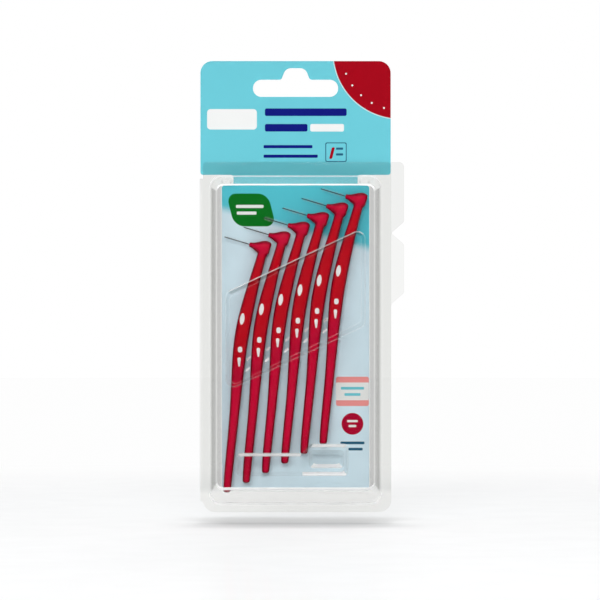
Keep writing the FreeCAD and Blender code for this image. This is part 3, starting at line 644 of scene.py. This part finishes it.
def plastic_material(name, dark, light, roughness, depth, grip=None):
    """Moulded plastic with colour drift and an uneven gloss, painted shade on its sides, and warmer on a
    grip.
    """
    material, tree, output = new_material(name)
    drift = noise_node(tree, scale=180, detail=3, stretch=(1, 1, 0.25))
    facing = math_node(tree, "ABSOLUTE", split_node(tree, surface_normal(tree))[1])
    tint = ramp_node(tree, drift, [(0.3, dark), (0.7, light)])
    if grip:
        own = split_node(tree, own_place(tree))
        height = math_node(tree, "SUBTRACT", own[2], math_node(tree, "MULTIPLY", own[0], GRIP_SLANT))
        tint = mix_colour(tree, span_node(tree, height, GRIP_BOTTOM, GRIP_TOP), tint, grip)
    # Painted shade: faces turned away from the front get the dark colour scaled by 'depth'.
    colour = mix_colour(tree, map_node(tree, facing, 0.72, 0.998, 1, 0), tint, scaled(dark, depth))
    grain = noise_node(tree, scale=3200, detail=2)
    gloss = map_node(tree, grain, 0.25, 0.75, roughness - 0.05, roughness + 0.07)
    shader = surface_shader(tree, colour, gloss)
    tree.links.new(bump_node(tree, grain, strength=0.1, distance=0.00003), shader.inputs["Normal"])
    shader.inputs["Specular IOR Level"].default_value = 0.06
    tree.links.new(shader.outputs[0], output.inputs[0])
    return material


def wire_material():
    """Drawn steel wire, darker in streaks."""
    material, tree, output = new_material("twisted_steel")
    streak = noise_node(tree, scale=900, detail=3)
    colour = ramp_node(tree, streak, [(0.3, (0.02, 0.02, 0.023)), (0.7, (0.06, 0.06, 0.067))])
    shader = surface_shader(tree, colour, map_node(tree, streak, 0.2, 0.8, 0.3, 0.5))
    shader.inputs["Metallic"].default_value = 0.85
    tree.links.new(shader.outputs[0], output.inputs[0])
    return material


def bristle_material():
    """Fine pale filaments, see-through to a varied share."""
    material, tree, output = new_material("nylon_filament")
    vary = noise_node(tree, scale=1500, detail=2)
    colour = ramp_node(tree, vary, [(0.3, (0.62, 0.66, 0.68)), (0.7, (0.82, 0.85, 0.86))])
    shader = surface_shader(tree, colour, map_node(tree, vary, 0.2, 0.8, 0.3, 0.45))
    through = add_node(tree, "ShaderNodeBsdfTransparent")
    mixed = mix_shader(tree, map_node(tree, vary, 0.2, 0.8, 0.35, 0.55), shader, through)
    tree.links.new(mixed.outputs[0], output.inputs[0])
    return material


def dress(piece, material):
    """Give an object one material all over."""
    piece.data.materials.clear()
    piece.data.materials.append(material)


# The main sheet carries the painted shade strip by the window's sides.
CLEAR = clear_material("clear_sheet", highlight_share=0, slope=0.74, strip_shade=0.8)
# Grades of painted white highlight on the bends: full, faint on slopes, none on thin walls, half on folds.
GRADES = [
    clear_material("clear_sheet_bend", highlight_share=1.0, slope=0.74),
    clear_material("clear_sheet_slope", highlight_share=0.12, slope=0.94, flat=0.975),
    clear_material("clear_sheet_thin", highlight_share=0, slope=0.93),
    clear_material("clear_sheet_fold", highlight_share=0.5, slope=0.84),
]
BACK = clear_material("clear_back_sheet", highlight_share=0, slope=0.74, flat=0.935)
CARD = card_material()
# 'depth' sets the painted side shade: 0.45 darkens the handles' sides, 1.0 leaves the marks even.
HANDLE = plastic_material(
    "moulded_red", dark=(0.54, 0.0003, 0.028), light=(0.62, 0.0006, 0.037), roughness=0.24, depth=0.45,
    grip=(0.54, 0.0002, 0.009))
MARK = plastic_material(
    "moulded_white", dark=(0.94, 0.91, 0.91), light=(0.97, 0.94, 0.94), roughness=0.35, depth=1.0)
WIRE = wire_material()
BRISTLE = bristle_material()


# Outlines of the formed sheets, and the materials of their walls
def flange_outline(tab_top, tab_bottom):
    """Corners of a case flange with a finger tab on its right edge, which can reach its top."""
    corners = [
        (FLANGE_LEFT, CASE_BOTTOM, FLANGE_FOOT_RADIUS),
        (CASE_X, CASE_BOTTOM, FLANGE_FOOT_RADIUS),
        (CASE_X, tab_bottom - TAB_RUN, TAB_RADIUS),
        (TAB_X, tab_bottom, TAB_RADIUS),
        (TAB_X, tab_top, TAB_RADIUS),
    ]
    if tab_top < CASE_TOP:
        corners += [(CASE_X, tab_top + TAB_RUN, TAB_RADIUS), (CASE_X, CASE_TOP, FLANGE_TOP_RADIUS)]
    corners.append((FLANGE_LEFT, CASE_TOP, FLANGE_TOP_RADIUS))
    return corners


def band_outline(inset):
    """Slanted band that holds the grips."""
    left, right, radius = inset - BAND_X, BAND_X - inset, BAND_RADIUS - inset / 2
    return [
        (left, BAND_LEFT[0] + inset, radius), (right, BAND_RIGHT[0] + inset, radius),
        (right, BAND_RIGHT[1] - inset, radius), (left, BAND_LEFT[1] - inset, radius),
    ]


def ledge_outline(inset):
    """Stepped ledge over the tails, with a gentler slope along its top."""
    left, right, bottom = LEDGE_LEFT + inset, LEDGE_RIGHT - inset, LEDGE_BOTTOM + inset
    low, high = LEDGE_LOW_TOP - LEDGE_TOP_SLOPE * inset, LEDGE_HIGH_TOP - LEDGE_TOP_SLOPE * inset
    corners = [
        (left, bottom), (right, bottom), (right, high),
        (LEDGE_STEP_RIGHT - inset / 2, high), (LEDGE_STEP_LEFT - inset / 2, low), (left, low),
    ]
    return [(x, z, STEP_RADIUS) for x, z in corners]


def stop_outline(inset):
    """Deep stop below the last tail."""
    return box_outline(
        STOP_LEFT + inset, STOP_RIGHT - inset, STOP_BOTTOM + inset, STOP_TOP - inset, STEP_RADIUS)


def spacer_outline(number, inset):
    """Narrow spacer formed down into the gap between two neighbouring grips."""
    x, z = SPACER_X + PITCH_X * number, SPACER_Z + PITCH_Z * number
    wide, tall = SPACER_WIDE - inset * SPACER_TAPER, SPACER_TALL - inset
    slope, lean = SPACER_SLOPE, SPACER_LEAN
    corners = [
        (x - wide - lean, z - tall - slope), (x + wide - lean, z - tall + slope),
        (x + wide + lean, z + tall + slope), (x - wide + lean, z + tall - slope),
    ]
    return [(x, z, SPACER_RADIUS) for x, z in corners]


def bead_outline(inset):
    """Stiffening bead that runs round the back."""
    return box_outline(
        inset - BASE_X, BASE_X - inset, BASE_BOTTOM + inset, BASE_TOP - inset, BEAD_RADIUS)


def box_shade(x, z, steep):
    """Bends with painted white highlights along the box's top and bottom, faint ones down its sides."""
    if z > WINDOW_TOP - BOX_WHITE or z < WINDOW_BOTTOM + BOX_WHITE:
        return FOLD, FAINT, BEND
    return FAINT, SHEET, FAINT


def band_shade(x, z, steep):
    """Painted pale highlight on the bends along the band's upper edge, faint ones elsewhere."""
    return (FOLD, SHEET, FAINT) if z > BAND_SPLIT + x * BAND_SLOPE and not steep else (FAINT, PLAIN, FAINT)


def ledge_shade(x, z, steep):
    """Painted white highlights on the slope and bends along the ledge's level edges."""
    if steep or LEDGE_TURN[0] < x < LEDGE_TURN[1]:
        return FAINT, PLAIN, FAINT
    return (BEND, BEND, FAINT) if z > LEDGE_WHITE_Z or x > LEDGE_WHITE_X else (PLAIN, PLAIN, PLAIN)


def stop_shade(x, z, steep):
    """Painted white highlight on the slope along the foot of the stop."""
    return (BEND, BEND, BEND) if z < STOP_WHITE_Z and not steep else (PLAIN, PLAIN, PLAIN)


def spacer_shade(x, z, steep):
    """Painted white highlights on the slopes at both ends of a spacer."""
    return (PLAIN, PLAIN, PLAIN) if steep else (BEND, BEND, BEND)


def block_shade(x, z, steep):
    """Clear bends and slopes all round."""
    return PLAIN, PLAIN, PLAIN


# Pieces
def formed_sheet(name, mesh, sheet_material):
    """Close a formed skin into a sheet of even thickness."""
    face_forward(mesh)
    piece = new_object(name, mesh)
    sheet = piece.modifiers.new("sheet", "SOLIDIFY")
    sheet.thickness = WALL * MM
    sheet.offset = -1
    sheet.use_even_offset = True
    piece.modifiers.new("flats", "WEIGHTED_NORMAL")
    for material in (sheet_material, *GRADES):
        piece.data.materials.append(material)
    return piece


def build_front():
    """Front half: flange with tab, drafted box, slanted band with spacers, stepped ledge and stop."""
    mesh = bmesh.new()
    flange = GAP + WALL
    base = box_outline(-BASE_X, BASE_X, BASE_BOTTOM, BASE_TOP, BASE_RADIUS)
    window = box_outline(-WINDOW_X, WINDOW_X, WINDOW_BOTTOM, WINDOW_TOP, WINDOW_RADIUS)
    foot = between(base, window, WALL / (FRONT_DEPTH - GAP))
    rim = add_ring(mesh, flange_outline(FRONT_TAB_TOP, FRONT_TAB_BOTTOM), flange)
    box_foot, box_top = add_wall(mesh, foot, window, flange, FRONT_DEPTH, BOX_SOFT, box_shade)
    band_top, band_floor = add_wall(
        mesh, band_outline(0), band_outline(BAND_INSET), FRONT_DEPTH, HOLD_DEPTH, BAND_SOFT, band_shade)
    ledge_top, ledge_floor = add_wall(
        mesh, ledge_outline(0), ledge_outline(STEP_INSET), FRONT_DEPTH, HOLD_DEPTH, LEDGE_SOFT, ledge_shade)
    stop_top, stop_floor = add_wall(
        mesh, stop_outline(0), stop_outline(STEP_INSET), HOLD_DEPTH, STOP_DEPTH, STOP_SOFT, stop_shade)
    spacers = []
    for number in range(BRUSHES - 1):
        top, floor = add_wall(
            mesh, spacer_outline(number, 0), spacer_outline(number, SPACER_INSET),
            HOLD_DEPTH, SPACER_DEPTH, SPACER_SOFT, spacer_shade)
        add_flat(mesh, floor)
        spacers.append(top)
    add_flat(mesh, rim, box_foot)
    add_flat(mesh, box_top, band_top, ledge_top)
    add_flat(mesh, band_floor, *spacers)
    add_flat(mesh, ledge_floor, stop_top)
    add_flat(mesh, stop_floor)
    piece = formed_sheet("front_shell_formed", mesh, CLEAR)
    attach(piece, "front")
    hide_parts("front_shell")


def build_back():
    """Back half: flange with tab, stiffening bead and four corner blocks."""
    mesh = bmesh.new()
    flange, bead_floor = -GAP, -GAP - BEAD_DEPTH
    rim = add_ring(mesh, flange_outline(CASE_TOP, BACK_TAB_BOTTOM), flange)
    outer_top, outer_low = add_wall(
        mesh, bead_outline(BEAD_OUTER), bead_outline(BEAD_OUTER + BEAD_LEAN), flange, bead_floor, BEAD_SOFT)
    inner_top, inner_low = add_wall(
        mesh, bead_outline(BEAD_INNER), bead_outline(BEAD_INNER - BEAD_LEAN), flange, bead_floor, BEAD_SOFT)
    blocks = []
    for left, right in ((-BLOCK_FAR, -BLOCK_NEAR), (BLOCK_NEAR, BLOCK_FAR)):
        for low, high, lift, drop in BLOCK_LEVELS:
            foot = box_outline(left, right, low, high, BLOCK_RADIUS)
            crown = box_outline(left + BLOCK_LEAN, right - BLOCK_LEAN, low + lift, high - drop, BLOCK_RADIUS)
            top, end = add_wall(mesh, foot, crown, flange, BLOCK_DEPTH, BLOCK_SOFT, block_shade)
            add_flat(mesh, end)
            blocks.append(top)
    add_flat(mesh, rim, outer_top, *blocks)
    add_flat(mesh, outer_low, inner_low)
    add_flat(mesh, inner_top)
    piece = formed_sheet("back_shell_formed", mesh, BACK)
    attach(piece, "card_and_back")
    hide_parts("back_shell")


def build_hinge():
    """Folded strip that joins the halves."""
    mesh = bmesh.new()
    inner, outer = GAP, GAP + WALL
    turns = [math.pi * step / FOLD_STEPS for step in range(FOLD_STEPS + 1)]
    fold = [(-math.sin(turn), -math.cos(turn)) for turn in turns]
    rise = (HINGE_TOP - HINGE_BOTTOM) / HINGE_LEVELS
    levels = [HINGE_BOTTOM + rise * step for step in range(HINGE_LEVELS + 1)]
    rings = []
    for level in levels:
        ring = []
        for radius in (outer, inner):
            section = [(HINGE_X + across * radius, along * radius) for across, along in fold]
            section = [(HINGE_X + HINGE_LAP, -radius), *section, (HINGE_X + HINGE_LAP, radius)]
            points = [mesh.verts.new((x * MM, y * MM, level * MM)) for x, y in section]
            ring += points if radius == outer else points[::-1]
        rings.append(ring)
    for a, b in zip(rings, rings[1:]):
        join_rings(mesh, a, b)
    half = len(rings[0]) // 2
    for ring in (rings[0], rings[-1]):
        for k in range(half - 1):
            mesh.faces.new((ring[k], ring[k + 1], ring[-2 - k], ring[-1 - k]))
    bmesh.ops.recalc_face_normals(mesh, faces=mesh.faces)
    piece = new_object("living_hinge_strip", mesh)
    dress(piece, CLEAR)
    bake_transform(piece)
    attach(piece, "card_and_back")
    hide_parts("living_hinge")


def brush_axes(number):
    """Middle of a brush's head, the direction of its wire and two directions across the wire."""
    start = Vector((TAIL_X + PITCH_X * number + HEAD_X, BRUSH_Y, TAIL_Z + PITCH_Z * number + HEAD_Z))
    along = Vector((-math.cos(WIRE_TILT), 0, math.sin(WIRE_TILT)))
    up = Vector((0, -1, 0))
    return start, along, up, along.cross(up)


def build_wire(number):
    """Two strands twisted round each other, closed at the tip."""
    mesh = bmesh.new()
    start, along, up, side = brush_axes(number)
    for strand in (0, math.pi):
        path, radii = [], []
        for step in range(STRAND_STEPS + 1):
            reach = WIRE_START + (WIRE_STOP - WIRE_START) * step / STRAND_STEPS
            turn = strand + 2 * math.pi * reach / TWIST
            closing = min(1, (WIRE_END - reach) / TIP_RUN + TIP_SHARE)
            outward = up * math.cos(turn) + side * math.sin(turn)
            path.append(start + along * reach + outward * STRAND_OFFSET * closing)
            radii.append(STRAND_RADIUS * closing)
        add_tube(mesh, path, radii, STRAND_SIDES)
    piece = new_object(f"brush_{number + 1}_twisted_wire", mesh)
    dress(piece, WIRE)
    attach(piece, f"brush_{number + 1}")
    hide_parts(f"brush_{number + 1}_wire")


def build_bristles(number):
    """Filaments caught in the twist, in a spiral that narrows a little to the tip."""
    dice = random.Random(FIRST_SEED + number)
    mesh = bmesh.new()
    start, along, up, side = brush_axes(number)
    for item in range(FILAMENTS):
        share = (item + dice.random() * STEP_VARY) / FILAMENTS
        reach = FILAMENT_START + FILAMENT_RUN * share
        turn = 2 * math.pi * reach / TWIST + math.pi * item + dice.uniform(-TURN_VARY, TURN_VARY)
        outward = up * math.cos(turn) + side * math.sin(turn)
        tip = (FILAMENT_REACH - FILAMENT_NARROWING * share) * dice.uniform(*LENGTH_VARY)
        length = tip - FILAMENT_ROOT
        drift = along * dice.uniform(*DRIFT_VARY)
        root = start + along * reach + outward * FILAMENT_ROOT
        bow = root + outward * length * MIDDLE_REACH + drift * MIDDLE_DRIFT
        add_tube(mesh, [root, bow, root + outward * length + drift], FILAMENT_RADII, FILAMENT_SIDES)
    piece = new_object(f"brush_{number + 1}_filaments", mesh)
    dress(piece, BRISTLE)
    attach(piece, f"brush_{number + 1}")
    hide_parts(f"brush_{number + 1}_bristles")


def soften(piece, grain, rounds, keep_outline):
    """Round the edges of a moulded piece, or only the front and back ones."""
    even = piece.modifiers.new("even", "REMESH")
    even.mode = "VOXEL"
    even.voxel_size = grain * MM
    even.use_smooth_shade = True
    soft = piece.modifiers.new("soft", "SMOOTH")
    soft.factor = 0.5
    soft.iterations = rounds
    soft.use_x = not keep_outline
    soft.use_z = not keep_outline


build_front()
build_back()
build_hinge()
dress(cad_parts["printed_card"], CARD)
for brush in range(BRUSHES):
    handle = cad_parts[f"brush_{brush + 1}_handle"]
    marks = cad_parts[f"brush_{brush + 1}_grip_marks"]
    dress(handle, HANDLE)
    soften(handle, grain=0.35, rounds=80, keep_outline=True)
    dress(marks, MARK)
    soften(marks, grain=0.1, rounds=22, keep_outline=False)
    build_wire(brush)
    build_bristles(brush)


# Stage: pale floor, white surroundings, soft lights and the camera, in metres
FLOOR_RADIUS, FLOOR_STEPS, FLOOR_FADE = 3, 48, (0.3, 0.62)
SHADOW_REACH, FLOOR_GLOSS, FLOOR_ROUGHNESS = 0.05, 0.06, 0.06
MIDDLE, LOW_MIDDLE = (0, 0, -0.1), (0, 0, -0.2)
CAMERA_X, CAMERA_Z, CAMERA_AWAY = 0.002, -0.0991, 1.6
VIEW_WIDTH, SENSOR = 0.27, 36


def shown_rays(tree):
    """One for rays that look at the surroundings or mirror them, none for rays that light the object."""
    ray = add_node(tree, "ShaderNodeLightPath")
    mirrored = math_node(tree, "MAXIMUM", ray.outputs["Is Glossy Ray"], ray.outputs["Is Transmission Ray"])
    return math_node(tree, "MAXIMUM", ray.outputs["Is Camera Ray"], mirrored)


def build_floor():
    """Wide pale floor with a slight sheen and a painted contact shadow near the object, that fades into the
    surroundings.
    """
    mesh = bmesh.new()
    level = (CASE_BOTTOM - HANG_GAP) * MM
    centre = mesh.verts.new((0, 0, level))
    turns = [2 * math.pi * k / FLOOR_STEPS for k in range(FLOOR_STEPS)]
    ring = [mesh.verts.new((FLOOR_RADIUS * math.cos(t), FLOOR_RADIUS * math.sin(t), level)) for t in turns]
    for k in range(FLOOR_STEPS):
        mesh.faces.new((centre, ring[k], ring[(k + 1) % FLOOR_STEPS]))
    floor = new_object("studio_floor", mesh)
    material, tree, output = new_material("studio_white")
    matt = add_node(tree, "ShaderNodeBsdfDiffuse")
    speck = noise_node(tree, scale=40, detail=2)
    pale = ramp_node(tree, speck, [(0.3, (0.85, 0.85, 0.85)), (0.7, (0.87, 0.87, 0.87))])
    # Painted shadow: the floor turns grey where the object is close above it.
    contact = add_node(tree, "ShaderNodeAmbientOcclusion")
    contact.inputs["Distance"].default_value = SHADOW_REACH
    open_sky = map_node(tree, contact.outputs["AO"], 0.4, 1.0, 0, 1)
    tree.links.new(mix_colour(tree, open_sky, (0.62, 0.62, 0.62), pale), matt.inputs[0])
    gloss = add_node(tree, "ShaderNodeBsdfGlossy")
    gloss.inputs["Roughness"].default_value = FLOOR_ROUGHNESS
    white = add_node(tree, "ShaderNodeEmission")
    length = add_node(tree, "ShaderNodeVectorMath", operation="LENGTH")
    tree.links.new(own_place(tree), length.inputs[0])
    far = map_node(tree, length.outputs["Value"], *FLOOR_FADE, 0, 1)
    faded = mix_shader(tree, math_node(tree, "MULTIPLY", far, shown_rays(tree)), matt, white)
    shader = mix_shader(tree, FLOOR_GLOSS, faded, gloss)
    tree.links.new(shader.outputs[0], output.inputs[0])
    dress(floor, material)


def add_light(name, place, target, width, height, power):
    """Soft rectangular light aimed at a point."""
    data = bpy.data.lights.new(name, "AREA")
    data.shape = "RECTANGLE"
    data.size = width
    data.size_y = height
    data.energy = power
    light = bpy.data.objects.new(name, data)
    light.location = place
    light.rotation_mode = "QUATERNION"
    light.rotation_quaternion = (Vector(target) - Vector(place)).to_track_quat("-Z", "Y")
    scene.collection.objects.link(light)


def build_world():
    """White surroundings that light the object with a soft fill from above."""
    world = bpy.data.worlds.new("studio")
    scene.world = world
    world.use_nodes = True
    tree = world.node_tree
    tree.nodes.clear()
    shown = add_node(tree, "ShaderNodeBackground")
    shown.inputs[0].default_value = (1, 1, 1, 1)
    fill = add_node(tree, "ShaderNodeBackground")
    fill.inputs[0].default_value = (0.97, 0.985, 1, 1)
    heading = add_node(tree, "ShaderNodeTexCoord").outputs["Generated"]
    rise = split_node(tree, heading)[2]
    tree.links.new(map_node(tree, rise, -0.2, 1.0, 0.09, 0.38), fill.inputs[1])
    pick = mix_shader(tree, shown_rays(tree), fill, shown)
    output = add_node(tree, "ShaderNodeOutputWorld")
    tree.links.new(pick.outputs[0], output.inputs[0])


def add_camera():
    """Camera square in front of the pack."""
    data = bpy.data.cameras.new("camera")
    data.sensor_width = SENSOR
    data.lens = SENSOR * CAMERA_AWAY / VIEW_WIDTH
    data.clip_end = 20
    camera = bpy.data.objects.new("camera", data)
    camera.location = (CAMERA_X, -CAMERA_AWAY, CAMERA_Z)
    camera.rotation_euler = (math.pi / 2, 0, 0)
    scene.collection.objects.link(camera)
    scene.camera = camera


build_floor()
add_light("front_softbox", (-0.15, -1.9, 0.72), MIDDLE, width=1.2, height=0.66, power=18.2)
add_light("left_softbox", (-0.9, -0.9, 0.0), MIDDLE, width=0.5, height=0.9, power=0.8)
add_light("right_softbox", (0.9, -0.9, 0.0), MIDDLE, width=0.5, height=0.9, power=0.45)
add_light("back_softbox", (0.2, 1.9, 0.55), MIDDLE, width=0.9, height=0.5, power=9)
for lean in (-0.5, 0.5):
    add_light("top_softbox", (0, lean, 2.75), LOW_MIDDLE, width=0.5, height=0.28, power=26)
build_world()
add_camera()
scene.view_settings.view_transform = "Standard"
